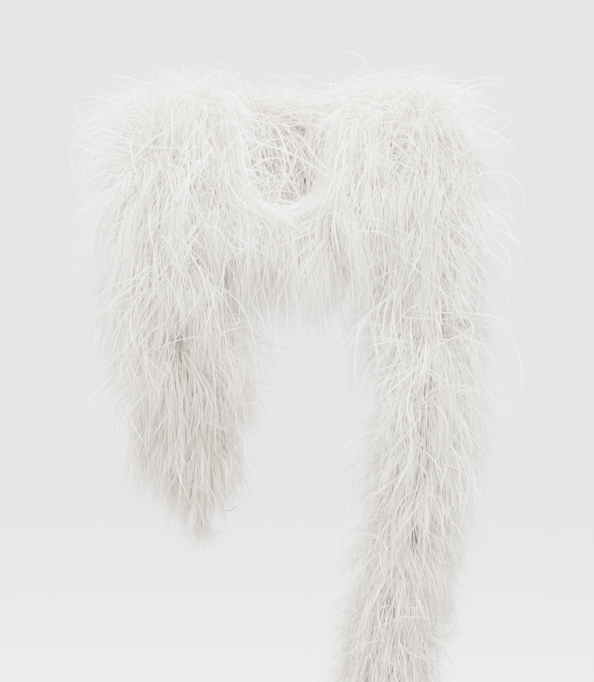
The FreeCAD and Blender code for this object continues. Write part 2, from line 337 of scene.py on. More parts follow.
def grained_material(name, colour, shadow, tone_scale, grain_scale, smooth, rough, bump, sheen):
    material = bpy.data.materials.new(name)
    material.use_nodes = True
    tree = material.node_tree
    shader = tree.nodes["Principled BSDF"]
    shader.inputs["Sheen Weight"].default_value = sheen
    tone = tree.nodes.new("ShaderNodeGroup")
    tone.node_tree = tone_group
    tone.inputs["Colour"].default_value = (*colour, 1)
    tone.inputs["Shadow Colour"].default_value = (*shadow, 1)
    tone.inputs["Amount"].default_value = CORD_TONE_AMOUNT
    tone.inputs["Scale"].default_value = tone_scale
    grain = tree.nodes.new("ShaderNodeGroup")
    grain.node_tree = grain_group
    grain.inputs["Scale"].default_value = grain_scale
    grain.inputs["Smooth"].default_value, grain.inputs["Rough"].default_value = smooth, rough
    relief = tree.nodes.new("ShaderNodeBump")
    relief.inputs["Strength"].default_value = bump
    relief.inputs["Distance"].default_value = GRAIN_DEPTH
    link(tree,
         (tone.outputs["Colour"], shader.inputs["Base Color"]),
         (grain.outputs["Roughness"], shader.inputs["Roughness"]),
         (grain.outputs["Height"], relief.inputs["Height"]),
         (relief.outputs["Normal"], shader.inputs["Normal"]))
    return material


cord_finish = grained_material(
    "core_cord", (0.80, 0.74, 0.66), (0.62, 0.54, 0.46), tone_scale=60, grain_scale=1800,
    smooth=0.75, rough=1.0, bump=0.6, sheen=0.3)
thread_finish = grained_material(
    "binding_thread", (0.36, 0.30, 0.22), (0.22, 0.18, 0.13), tone_scale=120, grain_scale=2600,
    smooth=0.6, rough=0.95, bump=0.5, sheen=0.2)
quill_finish = grained_material(
    "quill", (0.83, 0.74, 0.63), (0.68, 0.55, 0.44), tone_scale=40, grain_scale=700,
    smooth=0.3, rough=0.55, bump=0.2, sheen=0.0)
print("finishes:", [material.name for material in bpy.data.materials])

# %% [markdown]
# Now the core itself. A twisted cotton cord is three plies that wind round each other, and its look of
# grooves and ridges needs real plies rather than a round tube with a painted pattern. Each ply follows
# the core line at a small distance from it and turns round it at an even pitch.

# %% The core cord, stretch by stretch
CORE_DIAMETER = 5.0 * MM
PLIES = 3
PLY_RADIUS = 1.32 * MM
PLY_LAY = 1.2 * MM
PLY_PITCH = 16 * MM
POINT_GAP = 2.0 * MM
FEWEST_POINTS = 8


def wound(line, lay, pitch, plies):
    """The lines of several plies that wind round a line."""
    _, across, aside = carried_frames(line)
    run = run_along(line)
    lines = []
    for ply in range(plies):
        turn = (2 * np.pi * (run / pitch + ply / plies))[:, None]
        lines.append(line + lay * (np.cos(turn) * across + np.sin(turn) * aside))
    return lines


def stretch_line(start, end):
    """Evenly spaced points on the core between two places counted in spans."""
    first, last = np.interp([start, end], core_at, core_run)
    runs = np.linspace(first, last, max(FEWEST_POINTS, round((last - first) / POINT_GAP)))
    return on_core(np.interp(runs, core_run, core_at)), last - first


cords = {}
for stretch, (body, start, end) in STRETCHES.items():
    line, length = stretch_line(start, end)
    plies = [tube(ply, PLY_RADIUS) for ply in wound(line, PLY_LAY, PLY_PITCH, PLIES)]
    cord = piece(f"cord_{stretch}", plies, cord_finish)
    settle(cord, f"core_{stretch}", body)
    cords[stretch] = (cord, line, length)
    print(cord.name, round(length, 3), "m")

# %% [markdown]
# The quills are what each strip of flues grows from: the feather's shaft, pared down until it bends
# round the core. Two strips lie along the core under each plume, on either side of it, and each tapers
# from its butt to its tip. They lie square to the bend, where a strip is neither stretched nor crushed.

# %% Quill strips
QUILL_RADIUS = 0.85 * MM
QUILL_OFFSET = CORE_DIAMETER / 2 + 0.35 * MM + QUILL_RADIUS
QUILL_POINTS = 24
QUILL_MARGIN = 0.14
QUILL_TAPER = np.linspace(1, 0.5, QUILL_POINTS)


def bend_side(index):
    """The direction square to the bend of the route at a point."""
    before, here, after = (np.array(ROUTE[index + step], float) for step in (-1, 0, 1))
    return unit(np.cross(unit(here - before), unit(after - here)))


quills = {}
for index, body in plume_bodies.items():
    at = np.linspace(index - 1 + QUILL_MARGIN, index - QUILL_MARGIN, QUILL_POINTS)
    for sign in (-1, 1):
        line = on_core(at) + bend_side(index) * sign * QUILL_OFFSET
        quills.setdefault(body, []).append(tube(line, QUILL_RADIUS * QUILL_TAPER[::sign]))
for body, strips in quills.items():
    settle(piece(f"quill_strips_{body}", strips, quill_finish), f"quills_{body}", body)
print("quill strips:", {body: len(strips) for body, strips in quills.items()})

# %% [markdown]
# Binding thread holds the strips: a few close wraps between two plumes, and a longer whipping at each
# end of the cord. A wrap is one thread wound as a helix round the core, so it is made as a helix.

# %% Bindings and whippings
THREAD_RADIUS = 0.42 * MM
THREAD_SIDES = 5
WRAP_RADIUS = CORE_DIAMETER / 2 + THREAD_RADIUS
BINDING_WIDTH = 4.0 * MM
WHIPPING_WIDTH = 12.0 * MM
WRAP_POINTS = 14
END_RUN_SHARE = 0.268


def wraps(centre, direction, width):
    """One thread wound closely round the core."""
    turns = round(width / (2 * THREAD_RADIUS))
    share = np.linspace(0, 1, turns * WRAP_POINTS)
    across = unit(np.cross(direction, ASIDE_HINT))
    aside = np.cross(direction, across)
    turn = (2 * np.pi * turns * share)[:, None]
    helix = (centre + direction * ((share - 0.5) * (width - 2 * THREAD_RADIUS))[:, None]
             + WRAP_RADIUS * (np.cos(turn) * across + np.sin(turn) * aside))
    return tube(helix, THREAD_RADIUS, THREAD_SIDES)


core_ends = {"left": (core_place(0.0), 1), "right": (core_place(float(SPANS)), -1)}
bindings = {}
for body, start, end in STRETCHES.values():
    places = [float(at) for at in range(start + 1, end)]
    if start == 0:
        places.append(END_RUN_SHARE)
    if end == SPANS:
        places.append(SPANS - END_RUN_SHARE)
    rings = bindings.setdefault(body, [])
    rings += [wraps(*core_place(at), BINDING_WIDTH) for at in places]
for side, ((centre, direction), inwards) in core_ends.items():
    middle = centre + direction * inwards * WHIPPING_WIDTH / 2
    bindings[f"{side}_tail_lower"].append(wraps(middle, direction, WHIPPING_WIDTH))
for body, rings in bindings.items():
    made = piece(f"thread_wraps_{body}", rings, thread_finish)
    settle(made, f"bindings_{body}", body)
print("thread wraps:", {body: len(rings) for body, rings in bindings.items()})

# %% [markdown]
# An overhand knot keeps the whipping from sliding off each end. An overhand knot pulled tight is a
# trefoil, so the cord's plies follow a small trefoil line, and a few frayed yarns stick out below.

# %% End knots with frayed yarns
KNOT_RADIUS = 5.0 * MM
KNOT_POINTS = 90
KNOT_CORD = 1.75 * MM
KNOT_PLY_RADIUS, KNOT_PLY_LAY, KNOT_PITCH = 0.55 * KNOT_CORD, 0.48 * KNOT_CORD, 7 * MM
KNOT_DEPTH = 1.6
KNOT_STEP = math.sqrt(KNOT_RADIUS**2 - (CORE_DIAMETER / 2) ** 2)
FRAYS = 26
FRAY_LENGTHS = (6, 19)
FRAY_START, FRAY_SAG, FRAY_WAVE = 3 * MM, 3 * MM, 1.2 * MM
FRAY_SPREAD, FRAY_PULL = 0.55, 1.3
FRAY_RADII = np.linspace(0.22, 0.06, 7) * MM
DOWN = np.array([0.0, 0.0, -1.0])


def frayed_yarn(centre, outwards):
    heading = unit(outwards * FRAY_PULL + dice.normal(0, FRAY_SPREAD, 3))
    length = dice.uniform(*FRAY_LENGTHS) * MM
    steps = np.linspace(0, 1, len(FRAY_RADII))[:, None]
    sag = DOWN * FRAY_SAG * steps**2 + dice.normal(0, FRAY_WAVE, 3) * steps**2
    return tube(centre + outwards * FRAY_START + heading * length * steps + sag, FRAY_RADII, 4)


def knot(centre, outwards):
    turn = np.linspace(0, 2 * np.pi, KNOT_POINTS, endpoint=False)
    across = unit(np.cross(outwards, (0.2, 1.0, 0.1)))
    aside = np.cross(outwards, across)
    size = (KNOT_RADIUS - KNOT_CORD) / 3
    trefoil = (np.outer(np.sin(turn) + 2 * np.sin(2 * turn), across)
               + np.outer(np.cos(turn) - 2 * np.cos(2 * turn), aside)
               + np.outer(-KNOT_DEPTH * np.sin(3 * turn), outwards))
    line = centre + size * trefoil
    line = np.concatenate([line, line[:1] + (line[1:2] - line[:1]) * 0.5])
    plies = wound(line, KNOT_PLY_LAY, KNOT_PITCH, PLIES)
    return ([tube(ply, KNOT_PLY_RADIUS) for ply in plies]
            + [frayed_yarn(centre, outwards) for _ in range(FRAYS)])


knot_centres = {}
for side, ((centre, direction), inwards) in core_ends.items():
    outwards = direction * -inwards
    knot_centres[side] = centre + outwards * KNOT_STEP
    made = piece(f"knot_{side}", knot(knot_centres[side], outwards), cord_finish)
    settle(made, f"end_knot_{side}", f"{side}_tail_lower")
print("knots at", {side: centre.round(3).tolist() for side, centre in knot_centres.items()})

# %% [markdown]
# The left whipping has come a little loose, and the end of its thread stands out to the right of the
# knot, dips and curls up again. It is a thread of two plies on its own smooth line.

# %% The loose thread
THREAD_STEPS = ((5, 0, 0), (9, 0.4, -0.2), (13.5, 0.6, -3), (17.5, 0.5, -9), (22, 0.2, -13.2),
                (28, -0.2, -13.8), (32, -0.5, -11.5), (34.5, 0, -8.5))
LOOSE_PLY_RADIUS, LOOSE_PLY_LAY, LOOSE_PITCH = 0.34 * MM, 0.27 * MM, 3 * MM
EVERY_THIRD = 3

thread_points = [knot_centres["left"] / MM + np.array(step) for step in THREAD_STEPS]
thread_line = smooth_line("loose_thread", thread_points)[::EVERY_THIRD]
thread_plies = wound(thread_line, LOOSE_PLY_LAY, LOOSE_PITCH, 2)
thread_tubes = [tube(ply, LOOSE_PLY_RADIUS, THREAD_SIDES) for ply in thread_plies]
loose_thread = piece("loose_thread", thread_tubes, thread_finish)
settle(loose_thread, "loose_thread_left", "left_tail_lower")

# %% [markdown]
# Each stretch is a limp cord of its real length, because that is what a boa's core is: the boa drapes
# the way its cord allows. Two ends finish in knots, and every other end goes on into the next stretch.
# The loose thread has a bare end.

for stretch, (cord, line, length) in cords.items():
    side = {"left_tail_lower": "left", "right_tail_lower": "right"}.get(stretch)
print("declared", len(cords) + 1, "cords")

# %% [markdown]
# A flue is a long barb with downy barbules along it. It leaves the quill pointing outwards, bends under
# its own weight and curls at its tip. Hair particles could do this, but they leave no mesh to keep, so
# each flue is grown as points: step by step its heading turns towards the ground, more so near the thin
# tip, and a swirl of its own carries it sideways. All flues of one kind grow at once.

# %% Grow flues
DROOP_AT_ROOT, DROOP_AT_TIP = 0.30, 2.1
TIP_SWIRL = 1.5


def grow(root, heading, length, droop, swirls, steps):
    """Points along many flues. Droop and the two swirls are how much a flue turns in a metre."""
    step = (length / steps)[:, None]
    points = [root]
    for index in range(steps):
        share = (index + 0.5) / steps
        weight = DROOP_AT_ROOT + DROOP_AT_TIP * share**1.5
        fall = droop[:, None] * weight * (DOWN - (heading @ DOWN)[:, None] * heading)
        swirl = swirls[0] * (1 - share) + swirls[1] * TIP_SWIRL * share
        heading = unit(heading + step * (fall + swirl))
        points.append(points[-1] + heading * step)
    return np.stack(points, 1)


one = grow(np.zeros((1, 3)), np.array([[1.0, 0, 0]]), np.array([0.1]), np.array([25.0]), [0, 0], 5)
print("a flue of 100 mm that starts level falls by", round(-one[0, -1, 2] / MM), "mm")

# %% [markdown]
# Flues press against what they lie on. In front they lean away from the space for the neck, behind they
# lie flat against the nape, and on the shoulders their own weight packs them down, most of all in the
# middle. Every flue also stays in the room that the boa may take up, and a flue that is too long for it
# is made shorter as a whole, so that it keeps its curve.

# %% Comb flues away from the neck
NECK_GAP_X, NECK_GAP_SPREAD = 0.061, 0.010
NECK_GAP_BACK_Y = 0.020
NECK_BOTTOM_Z = -0.050
FRONT_ROOTS_Y, BACK_ROOTS_Y, ROOTS_EASE = 0.045, 0.025, 0.02
NECK_SIDE_X, NECK_EASE = 0.09, 0.03
NECK_PRESS, TOP_PRESS = 0.8, 0.5
TOP_Z = (0.052, 0.082)
TOP_MIDDLE_X, TOP_EASE = 0.03, 0.05
COMB_LEAST = 0.55
ROOM_SHARE, ROOM_STEP, ROOM_OF_SIDE = 0.9, 0.010, 0.03
SHORTEST_SHARE = 0.2
room_margin = ROOM_SHARE * (ROOM_STEP + ROOM_OF_SIDE * (np.array(cad_high) - np.array(cad_low)))
room_low, room_high = np.array(cad_low) - room_margin, np.array(cad_high) + room_margin


def eased(values):
    """Goes smoothly from 0 to 1 as the values do."""
    values = np.clip(values, 0, 1)
    return values * values * (3 - 2 * values)


def kept_in_room(points):
    """Flues made shorter where they would reach past the room that the boa has."""
    root = points[:, :1]
    reach = points - root
    room = np.where(reach > 0, room_high - root, room_low - root)
    moves = np.abs(reach) > 1e-9
    share = np.where(moves, room / np.where(moves, reach, 1), 9.0)
    return root + reach * np.clip(share.min((1, 2)), SHORTEST_SHARE, 1)[:, None, None]


def combed(points, firmness):
    """Flues that lean away from the space for the neck, and that are packed down on top."""
    root = points[:, :1]
    z = points[..., 2]
    firmness = firmness * dice.uniform(COMB_LEAST, 1, (len(points), 1))
    high = eased((z - NECK_BOTTOM_Z) / NECK_EASE)
    front = eased((FRONT_ROOTS_Y - root[..., 1]) / ROOTS_EASE) * high * firmness
    behind = eased((root[..., 1] - BACK_ROOTS_Y) / ROOTS_EASE) * firmness
    side = np.where(root[..., 0] < 0, -1.0, 1.0)
    edge = NECK_GAP_X + dice.normal(0, NECK_GAP_SPREAD, (len(points), 1))
    points[..., 0] += side * front * NECK_PRESS * np.maximum(edge - side * points[..., 0], 0)
    x = np.abs(points[..., 0])
    behind = behind * eased((NECK_SIDE_X - x) / NECK_EASE)
    points[..., 1] += behind * NECK_PRESS * np.maximum(NECK_GAP_BACK_Y - points[..., 1], 0)
    top = TOP_Z[0] + (TOP_Z[1] - TOP_Z[0]) * eased((x - TOP_MIDDLE_X) / TOP_EASE)
    points[..., 2] -= TOP_PRESS * np.maximum(z - top, 0)
    return kept_in_room(points)


print("room for flues:", room_low.round(3), room_high.round(3))

# %% [markdown]
# Grown points become thin closed prisms with three sides, the fewest that a solid flue can have. A flue
# is a little thicker a third of the way along and thin at its tip. Its faces are flat, which suits the
# facets of a real flue and keeps the thousands of them bright.

# %% Prisms along grown flues
FLATNESS = 0.38
ROOT_WIDTH, WIDEST_AT = 0.45, 0.3
TIP_TAPER, TAPER_POWER = 0.8, 2.2


def prisms(points, width, flat_side):
    """Corners, faces and map places of closed three-sided flues."""
    count, rings = points.shape[0], points.shape[1] - 1
    along = unit(np.gradient(points, axis=1))[:, :rings]
    across = unit(np.cross(along, flat_side[:, None]))
    above = np.cross(along, across)
    share = np.arange(rings) / rings
    profile = ROOT_WIDTH + (1 - ROOT_WIDTH) * eased(share / WIDEST_AT)
    profile = profile * (1 - TIP_TAPER * share**TAPER_POWER)
    half = (width[:, None] * profile)[..., None] / 2
    centre = points[:, :rings]
    corners = np.stack([centre - across * half, centre + across * half,
                        centre + above * half * 2 * FLATNESS], 2)
    corners = np.concatenate([corners.reshape(count, -1, 3), points[:, -1:]], 1)
    ring, side = np.meshgrid(np.arange(rings - 1), np.arange(3), indexing="ij")
    here, ahead = 3 * ring + side, 3 * ring + (side + 1) % 3
    quads = np.stack([here, ahead, ahead + 3, here + 3], -1).reshape(-1, 4)
    last = 3 * (rings - 1)
    tip = last + 3
    ends = np.array([[last, last + 1, tip], [last + 1, last + 2, tip], [last + 2, last, tip],
                     [2, 1, 0]])
    low, up = (ring / rings).ravel(), ((ring + 1) / rings).ravel()
    left, right = low * 0, low * 0 + 1
    quad_map = np.stack([np.stack(corner, -1)
                         for corner in ((left, low), (right, low), (right, up), (left, up))], 1)
    near_tip = (rings - 1) / rings
    end_map = np.array([[[0, near_tip], [1, near_tip], [0.5, 1]]] * 3
                       + [[[0, 0], [1, 0], [0.5, 0.1]]])
    along_share = np.concatenate([np.repeat(share, 3), [1.0]])
    return corners, ((quads, quad_map), (ends, end_map)), along_share


corners, _, _ = prisms(one, np.array([1.0 * MM]), DOWN[None] + 0.1)
print("one flue has", corners.shape[1], "corners")

# %% [markdown]
# One plume has thousands of flues, so its mesh is filled in bulk. Each flue gets a small cell of the
# map to itself, and carries two values of its own on its corners: how far along it a point is, and how
# light the whole flue is. The finish reads both.

# %% Flues as one mesh
CELL_MARGIN = 0.06


def flue_mesh(name, kinds, material):
    """One mesh of several kinds of flues."""
    columns = math.ceil(math.sqrt(sum(len(points) for points, *_ in kinds)))
    corners, loops, starts, places, alongs, shades, base, cell = [], [], [], [], [], [], 0, 0
    for points, width, flat_side, shade in kinds:
        made, mapped_faces, along_share = prisms(points, width, flat_side)
        count, each = made.shape[:2]
        offset = base + each * np.arange(count)
        cells = cell + np.arange(count)
        spot = np.stack([cells % columns, cells // columns], -1)[:, None, None]
        for faces, face_map in mapped_faces:
            loops.append((offset[:, None, None] + faces).ravel())
            starts.append(np.full(count * len(faces), faces.shape[1]))
            in_cell = CELL_MARGIN + (1 - 2 * CELL_MARGIN) * face_map
            places.append(((spot + in_cell) / columns).reshape(-1, 2))
        corners.append(made.reshape(-1, 3))
        alongs.append(np.tile(along_share, count))
        shades.append(np.repeat(shade, each))
        base += each * count
        cell += count
    mesh = bpy.data.meshes.new(name)
    sizes, loops = np.concatenate(starts), np.concatenate(loops)
    firsts = np.concatenate([[0], np.cumsum(sizes)[:-1]])
    places = np.concatenate(places).astype(np.float32).ravel()
    mesh.vertices.add(base)
    mesh.vertices.foreach_set("co", np.concatenate(corners).astype(np.float32).ravel())
    mesh.loops.add(len(loops))
    mesh.loops.foreach_set("vertex_index", loops.astype(np.int32))
    mesh.polygons.add(len(sizes))
    mesh.polygons.foreach_set("loop_start", firsts.astype(np.int32))
    mesh.update(calc_edges=True)
    mesh.shade_flat()
    mesh.uv_layers.new(name="OFBake").uv.foreach_set("vector", places)
    for label, values in (("along", alongs), ("shade", shades)):
        attribute = mesh.attributes.new(label, "FLOAT", "POINT")
        attribute.data.foreach_set("value", np.concatenate(values).astype(np.float32))
    mesh.materials.append(material)
    mesh.validate()
    return placed(name, mesh)


print("map cells keep a margin of", CELL_MARGIN, "of a cell")

# %% [markdown]
# White ostrich isn't one white. Near the quill the down is a pinkish beige, further out it is ivory,
# and the tips are almost pure white. One flue differs a little from the next, and the whole boa changes
# tone slowly. A ramp along the flue gives the first, the flue's shade value tints it, and the slow
# change of tone is the same node group that the cord has. The shade value also carries painted shade:
# the mass under the outer flues, the low plumes and the back loops are given darker values.

# %% The finish of the flues
FLUE_COLOURS = (
    (0.0, (0.84, 0.775, 0.715)), (1.0, (0.98, 0.975, 0.962)),
    (0.12, (0.90, 0.87, 0.83)), (0.35, (0.95, 0.938, 0.915)), (0.7, (0.97, 0.964, 0.948)),
)
FLUE_SHADOW, FLUE_TINT_AND_PAINTED_SHADE = (0.90, 0.875, 0.845, 1), (0.80, 0.762, 0.70, 1)


def flue_material():
    material = bpy.data.materials.new("ostrich_flues")
    material.use_nodes = True
    tree = material.node_tree
    shader = tree.nodes["Principled BSDF"]
    shader.inputs["Sheen Weight"].default_value = 0.35
    shader.inputs["Sheen Roughness"].default_value = 0.45
    shader.inputs["Specular IOR Level"].default_value = 0.3
    along = tree.nodes.new("ShaderNodeAttribute")
    along.attribute_name = "along"
    shade = tree.nodes.new("ShaderNodeAttribute")
    shade.attribute_name = "shade"
    ramp = tree.nodes.new("ShaderNodeValToRGB")
    stops = ramp.color_ramp.elements
    for index, (position, colour) in enumerate(FLUE_COLOURS):
        stop = stops[index] if index < 2 else stops.new(position)
        stop.position, stop.color = position, (*colour, 1)
    tone = tree.nodes.new("ShaderNodeGroup")
    tone.node_tree = tone_group
    tone.inputs["Shadow Colour"].default_value = FLUE_SHADOW
    tone.inputs["Amount"].default_value = 0.45
    tone.inputs["Scale"].default_value = 14
    own = tree.nodes.new("ShaderNodeMix")
    own.data_type, own.blend_type = "RGBA", "MULTIPLY"
    own.inputs["Factor"].default_value = 1
    # The tint darkens a flue by its shade value, so it paints the shade given to the low plumes, the
    # back loops and the mass under the outer flues, as well as each flue's own tone.
    tint = tree.nodes.new("ShaderNodeMix")
    tint.data_type = "RGBA"
    tint.inputs["A"].default_value, tint.inputs["B"].default_value = FLUE_TINT_AND_PAINTED_SHADE, (1, 1, 1, 1)
    grain = tree.nodes.new("ShaderNodeGroup")
    grain.node_tree = grain_group
    grain.inputs["Scale"].default_value = 300
    grain.inputs["Smooth"].default_value, grain.inputs["Rough"].default_value = 0.45, 0.75
    link(tree,
         (along.outputs["Fac"], ramp.inputs["Fac"]),
         (ramp.outputs["Color"], tone.inputs["Colour"]),
         (tone.outputs["Colour"], own.inputs["A"]),
         (shade.outputs["Fac"], tint.inputs["Factor"]),
         (tint.outputs["Result"], own.inputs["B"]),
         (own.outputs["Result"], shader.inputs["Base Color"]),
         (grain.outputs["Roughness"], shader.inputs["Roughness"]))
    return material


flue_finish = flue_material()
print("finish:", flue_finish.name)

# %% [markdown]
# A plume has four kinds of flues. Short down fills it next to the core and keeps the core from showing.
# Long fine flues make its body: they grow in locks that share a direction and a swirl, which is what
# gives feathers their combed, strandy look. Thicker strands lie over them, and a few wisps stand out
# beyond the rest. Here and there loose flues all reach one way, across the neck or out to a side.
# Lengths and widths are in millimetres; droop and swirl are turns in radians over a metre.

# %% Kinds of flues
# The shade ranges make the down and the fine flues of the mass darker than the strands, wisps and loose
# flues that lie over and beyond it: that difference is painted shade of the mass under them, while the
# spread inside each range is each lock's and flue's own tone.
KINDS = {
    "down": dict(count=420, lock=5, steps=4, length=(34, 68), width=(0.8, 1.5), droop=(16, 32),
                 swirl=10, lean=0.5, own=0.30, comb=1.0, shade=(0.3, 0.65)),
    "flues": dict(count=2500, lock=24, steps=5, length=(86, 132), width=(0.4, 0.8), droop=(20, 40),
                  swirl=8, lean=0.45, own=0.10, comb=1.0, shade=(0.35, 0.85)),
    "strands": dict(count=150, lock=3, steps=9, length=(96, 142), width=(1.2, 2.0), droop=(14, 32),
                    swirl=14, lean=0.6, own=0.28, comb=0.8, shade=(0.85, 1.0)),
    "wisps": dict(count=40, lock=2, steps=12, length=(108, 156), width=(1.0, 1.7), droop=(7, 18),
                  swirl=18, lean=0.6, own=0.4, comb=0.3, shade=(0.9, 1.0)),
}
LOOSE = dict(count=13, lock=1, steps=12, length=(104, 158), width=(1.1, 1.9), droop=(11, 24),
             swirl=13, lean=0.3, own=0.45, comb=0.0, shade=(0.9, 1.0))
LOOSE_TOWARDS = {
    12: (-0.9, -0.6, 0.3), 17: (0.9, -0.6, 0.3), 13: (-0.6, -0.5, 0.3), 16: (0.6, -0.5, 0.2),
    14: (-0.3, -0.3, -0.9), 15: (0.3, -0.3, -0.9), 5: (-1.0, -0.3, 0.2), 6: (-1.0, -0.1, 0.4),
    27: (1.0, -0.3, 0.0), 28: (1.0, -0.2, -0.2), 26: (-0.8, -0.5, -0.3), 30: (-1.0, -0.2, 0.0),
}
print("kinds:", {name: kind["count"] for name, kind in KINDS.items()}, "and loose ones")

# %% [markdown]
# One plume's flues of one kind are drawn by lot together: first the locks, then how each flue differs
# from its lock. Their roots lie along the core between two places, all round it. A plume can have more
# or fewer of them, all longer or shorter, and a step lighter or darker.

# %% Draw the flues of one kind
SPAN_OF_FULL_PLUME = 0.067
FEWEST_FLUES = 8
ROOT_GAP = 0.3 * MM
LOCK_SPREAD = 0.04
HEADING_SPREAD, SWIRL_SPREAD = 0.6, 0.2
LENGTH_LIMITS, DROOP_LIMITS = (0.7, 1.25), (0.6, 1.4)
LUMPS, LUMP_PITCHES = 0.14, (5.1, 3.3)
TOWARDS_PULL = 2.5
LOCK_SHADE = 0.6


def plume_flues(kind, start, end, shares=1.0, longer=1.0, beige_and_painted_shade_step=0.0, towards=None):
    """Flues of one kind that grow from the core between two places counted in spans."""
    run = float(np.interp(end, core_at, core_run) - np.interp(start, core_at, core_run))
    count = max(FEWEST_FLUES, round(kind["count"] * shares * run / SPAN_OF_FULL_PLUME))
    locks = max(2, round(count / kind["lock"]))
    own, swirl = kind["own"], kind["swirl"]
    lock = dice.integers(0, locks, count)
    at = dice.uniform(start, end, locks)[lock] + dice.normal(0, LOCK_SPREAD, count)
    at = np.clip(at, start, end)
    turn = dice.uniform(0, 2 * np.pi, locks)[lock] + dice.normal(0, own, count)
    directions = (core_across, core_aside, core_along)
    across, aside, along = (unit(on_core(at, values)) for values in directions)
    outwards = np.cos(turn)[:, None] * across + np.sin(turn)[:, None] * aside
    if towards is not None:
        outwards = TOWARDS_PULL * np.array(towards) + outwards
        outwards = unit(outwards - (outwards * along).sum(1, keepdims=True) * along)
    lean = (dice.normal(0, kind["lean"], locks)[lock] + dice.normal(0, own, count))[:, None]
    heading = unit(outwards + lean * along + dice.normal(0, own * HEADING_SPREAD, (count, 3)))
    length = dice.uniform(*kind["length"], locks)[lock] * MM * longer
    length = length * dice.normal(1, 0.1, count).clip(*LENGTH_LIMITS)
    length *= 1 + LUMPS * np.sin(turn * 2 + at * LUMP_PITCHES[0]) * np.sin(at * LUMP_PITCHES[1] + turn)
    droop = dice.uniform(*kind["droop"], locks)[lock] / longer
    droop = droop * dice.normal(1, 0.1, count).clip(*DROOP_LIMITS)
    swirls = []
    for _ in range(2):
        shared = dice.normal(0, swirl, (locks, 3))[lock]
        swirls.append((shared + dice.normal(0, swirl * SWIRL_SPREAD, (count, 3))) / longer)
    root = on_core(at) + outwards * (QUILL_OFFSET + ROOT_GAP)
    points = combed(grow(root, heading, length, droop, swirls, kind["steps"]), kind["comb"])
    width = dice.uniform(*kind["width"], count) * MM
    flat_side = unit(dice.normal(0, 1, (count, 3)))
    shade = dice.uniform(*kind["shade"], locks)[lock] * LOCK_SHADE
    # The plume's step darkens every flue of it: partly the beige of handled down, partly painted shade.
    shade = shade + dice.uniform(*kind["shade"], count) * (1 - LOCK_SHADE) + beige_and_painted_shade_step
    return points, width, flat_side, shade


print("a full plume is", SPAN_OF_FULL_PLUME, "m of core")

# %% [markdown]
# Two thin locks hang by themselves at the left end: one straight down past the knot, with crumpled
# tips, and one out to the left and down. All flues of such a lock leave one place in one direction.

# %% Locks that hang by themselves
TUFT_LOCK = dict(count=150, steps=12, length=(46, 62), width=(0.7, 1.3), spread=0.05, droop=34,
                 swirl=3, curl=34)
SIDE_LOCK = dict(count=90, steps=10, length=(116, 136), width=(0.7, 1.3), spread=0.05, droop=24,
                 swirl=2, curl=6)
SIDE_LOCK_AT, SIDE_LOCK_TOWARDS = 0.85, (-0.9, -0.25, -0.45)
LOCK_ROOT_SPREAD = 2.0
# The hanging locks get the darkest shades: partly the beige of handled down at the tail's end, partly
# painted shade for the low light there.
LOCK_BEIGE_AND_PAINTED_SHADE = (0, 0.3)


def hanging_lock(kind, centre, towards):
    """One thin lock of flues that leaves a place and hangs down from it."""
    count = kind["count"]
    heading = unit(np.array(towards) + dice.normal(0, kind["spread"], (count, 3)))
    length = dice.uniform(*kind["length"], count) * MM
    swirls = [dice.normal(0, kind[name], (count, 3)) for name in ("swirl", "curl")]
    root = centre + dice.normal(0, LOCK_ROOT_SPREAD, (count, 3)) * MM
    droop = np.full(count, float(kind["droop"]))
    points = kept_in_room(grow(root, heading, length, droop, swirls, kind["steps"]))
    width = dice.uniform(*kind["width"], count) * MM
    flat_side = unit(dice.normal(0, 1, (count, 3)))
    return points, width, flat_side, dice.uniform(*LOCK_BEIGE_AND_PAINTED_SHADE, count)


print("locks of", TUFT_LOCK["count"], "and", SIDE_LOCK["count"], "flues")

# %% [markdown]
# Now the plumes, one for each bend of the route. They are longest over the shoulders and shorter
# towards both ends. The low ones are darker, partly from the beige that handling leaves on the down and
# partly as painted shade where less light reaches them; the plumes of the back loops are darker as
# painted shade only. A plume beside a joint is hung on no body: its place is baked into its mesh.

# %% Plumes
BESIDE_JOINTS = {
    5: "left_tail_swing", 4: "left_tail_swing", 3: "left_tail_sway", 2: "left_tail_sway",
    12: "front_swag_swing", 13: "front_swag_swing", 16: "front_swag_swing", 17: "front_swag_swing",
    24: "right_tail_swing", 25: "right_tail_swing", 27: "right_tail_sway", 28: "right_tail_sway",
    30: "right_tail_curl", 31: "right_tail_curl",
}
PLUME_LENGTHS = {
    1: 0.70, 2: 1.02, 3: 1.18, 4: 1.08, 5: 0.97, 6: 0.92, 13: 0.86, 14: 0.76, 15: 0.76, 16: 0.86,
    23: 0.92, 24: 0.92, 25: 0.94, 26: 0.92, 27: 0.88, 28: 0.82, 29: 0.74, 30: 0.69, 31: 0.67, 32: 0.66,
}
# Steps below zero darken a plume's flues. At the tail ends this is partly the beige of handled down and
# partly painted shade for the light that falls off towards the bottom; on the back loops (8 to 10, 19
# to 21) it is painted shade only.
PLUME_BEIGE_AND_PAINTED_SHADE = {
    1: -0.65, 2: -0.50, 3: -0.20, 8: -0.2, 9: -0.2, 10: -0.2, 19: -0.2, 20: -0.2, 21: -0.2,
    27: -0.05, 28: -0.12, 29: -0.20, 30: -0.30, 31: -0.40, 32: -0.45,
}
PLUME_SHARES = {1: 1.15, 27: 1.15, 28: 1.25, 29: 1.35, 30: 1.4, 31: 1.4, 32: 1.4}


def hang(made, index, body):
    """Rides a plume on its body, or, beside a joint, bakes its place into its mesh and hangs it on no
    body.
    """
    if index not in BESIDE_JOINTS:
        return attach(made, body)
    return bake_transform(made)


